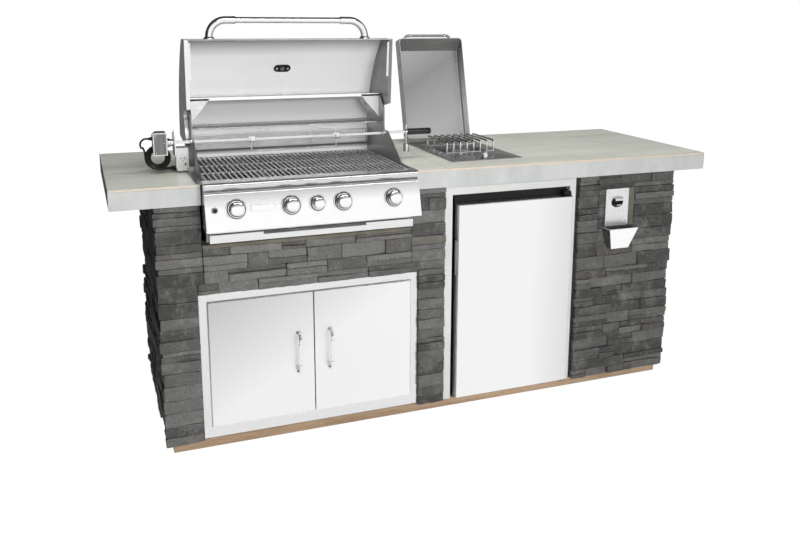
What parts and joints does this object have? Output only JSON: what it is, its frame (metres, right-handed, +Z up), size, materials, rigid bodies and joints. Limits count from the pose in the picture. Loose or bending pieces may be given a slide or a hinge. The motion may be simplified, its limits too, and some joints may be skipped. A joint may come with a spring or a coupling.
{
  "type": "outdoor kitchen island",
  "caption": "Outdoor kitchen island: ledgestone base, tiled counter, built-in grill with raised hood and rotisserie, double access door, refrigerator, side burner, bottle opener.",
  "frame": {"origin": "on the floor, under the middle of the counter", "axes": "+X along the counter to the right as seen from the front, +Y to the back, +Z up"},
  "size_m": [2.43, 0.932, 1.5629],
  "materials": {
    "deck_tan": "painted, matte",
    "board": "cement board, matte",
    "tile": "honed, satin",
    "fascia": "honed, satin",
    "ledgestone": "split face, matte",
    "stainless": "brushed",
    "brushed_sheet": "brushed, dull",
    "polished": "polished",
    "door_skin": "fine brushed",
    "cast_iron": "seasoned, matte",
    "fridge_black": "satin",
    "shelf_glass": "clear",
    "trim": "satin",
    "ceramic": "matte",
    "black_rubber": "matte",
    "black_plastic": "matte"
  },
  "bodies": {
    "island": {"access_frame": "stainless", "base_deck": "deck_tan", "burner_tubes": "brushed_sheet", "cabinet_divider": "board", "cap_bucket": "stainless", "control_panel": "stainless", "cooking_grate": "cast_iron", "cord_coil": "black_rubber", "cord_lead": "black_rubber", "cord_plug": "black_rubber", "counter_board": "board", "counter_tile_left": "tile", "counter_tile_rear": "tile", "counter_tile_right": "tile", "fascia_left": "fascia", "fascia_right": "fascia", "flame_tamers": "brushed_sheet", "fridge_cabinet": "fridge_black", "fridge_shelf": "shelf_glass", "fridge_trim": "trim", "grill_firebox": "stainless", "left_end_wall": "board", "opener_plate": "stainless", "rear_burner": "ceramic", "rear_housing": "stainless", "rear_wall": "board", "right_end_wall": "board", "side_burner_pan": "stainless", "side_trivet": "stainless", "spit_bracket": "brushed_sheet", "spit_motor": "trim", "stone_centre_pillar": "ledgestone", "stone_header": "ledgestone", "stone_left_end": "ledgestone", "stone_left_pillar": "ledgestone", "stone_rear": "ledgestone", "stone_right_end": "ledgestone", "stone_right_panel": "ledgestone", "warming_rack": "stainless"},
    "hood": {"hood_shell": "stainless", "hood_handle": "polished", "thermometer": "polished"},
    "side_lid": {"side_burner_lid": "stainless"},
    "access_leaf_left": {"access_door_left": "door_skin", "door_handle_left": "polished"},
    "access_leaf_right": {"access_door_right": "door_skin", "door_handle_right": "polished"},
    "fridge_leaf": {"fridge_door": "door_skin"},
    "spit": {"spit_rod": "stainless", "spit_fork_left": "stainless", "spit_fork_right": "stainless", "spit_grip": "black_plastic"},
    "tray": {"drip_tray": "stainless"},
    "igniter": {"igniter_button": "black_rubber"},
    "side_burner_knob": {"side_knob": "polished"},
    "knob_1": {"burner_knob_1": "polished"},
    "knob_2": {"burner_knob_2": "polished"},
    "knob_3": {"burner_knob_3": "polished"},
    "knob_4": {"burner_knob_4": "polished"},
    "knob_5": {"burner_knob_5": "polished"}
  },
  "joints": [
    {"name": "hood_hinge", "type": "hinge", "parent": "island", "child": "hood", "pos_m": [-0.524, -0.035, 1.112], "axis": [1, 0, 0], "range_deg": [0, 85]},
    {"name": "side_lid_hinge", "type": "hinge", "parent": "island", "child": "side_lid", "pos_m": [0.241, 0.258, 1.02], "axis": [1, 0, 0], "range_deg": [0, 105]},
    {"name": "access_left_hinge", "type": "hinge", "parent": "island", "child": "access_leaf_left", "pos_m": [-0.9055, -0.3716, 0.3235], "axis": [0, 0, 1], "range_deg": [-110, 0]},
    {"name": "access_right_hinge", "type": "hinge", "parent": "island", "child": "access_leaf_right", "pos_m": [-0.1345, -0.3716, 0.3235], "axis": [0, 0, 1], "range_deg": [0, 110]},
    {"name": "fridge_hinge", "type": "hinge", "parent": "island", "child": "fridge_leaf", "pos_m": [0.557, -0.384, 0.449], "axis": [0, 0, 1], "range_deg": [0, 100]},
    {"name": "spit_spin", "type": "hinge", "parent": "island", "child": "spit", "pos_m": [-0.524, -0.118, 1.108], "axis": [1, 0, 0], "continuous": true},
    {"name": "tray_slide", "type": "slide", "parent": "island", "child": "tray", "axis": [0, -1, 0], "range_m": [0, 0.4]},
    {"name": "knob_1_turn", "type": "hinge", "parent": "island", "child": "knob_1", "pos_m": [-0.809, -0.47824, 0.9218], "axis": [0, -0.9675, 0.253], "range_deg": [0, 270]},
    {"name": "knob_2_turn", "type": "hinge", "parent": "island", "child": "knob_2", "pos_m": [-0.618, -0.47824, 0.9218], "axis": [0, -0.9675, 0.253], "range_deg": [0, 270]},
    {"name": "knob_3_turn", "type": "hinge", "parent": "island", "child": "knob_3", "pos_m": [-0.524, -0.47824, 0.9218], "axis": [0, -0.9675, 0.253], "range_deg": [0, 270]},
    {"name": "knob_4_turn", "type": "hinge", "parent": "island", "child": "knob_4", "pos_m": [-0.43, -0.47824, 0.9218], "axis": [0, -0.9675, 0.253], "range_deg": [0, 270]},
    {"name": "knob_5_turn", "type": "hinge", "parent": "island", "child": "knob_5", "pos_m": [-0.239, -0.47824, 0.9218], "axis": [0, -0.9675, 0.253], "range_deg": [0, 270]},
    {"name": "igniter_press", "type": "slide", "parent": "island", "child": "igniter", "axis": [0, 0.9675, -0.253], "range_m": [0, 0.003], "stiffness_N_per_m": 400},
    {"name": "side_knob_turn", "type": "hinge", "parent": "island", "child": "side_burner_knob", "pos_m": [0.241, -0.232, 1.0066], "axis": [0, 0, 1], "range_deg": [0, 270]}
  ]
}
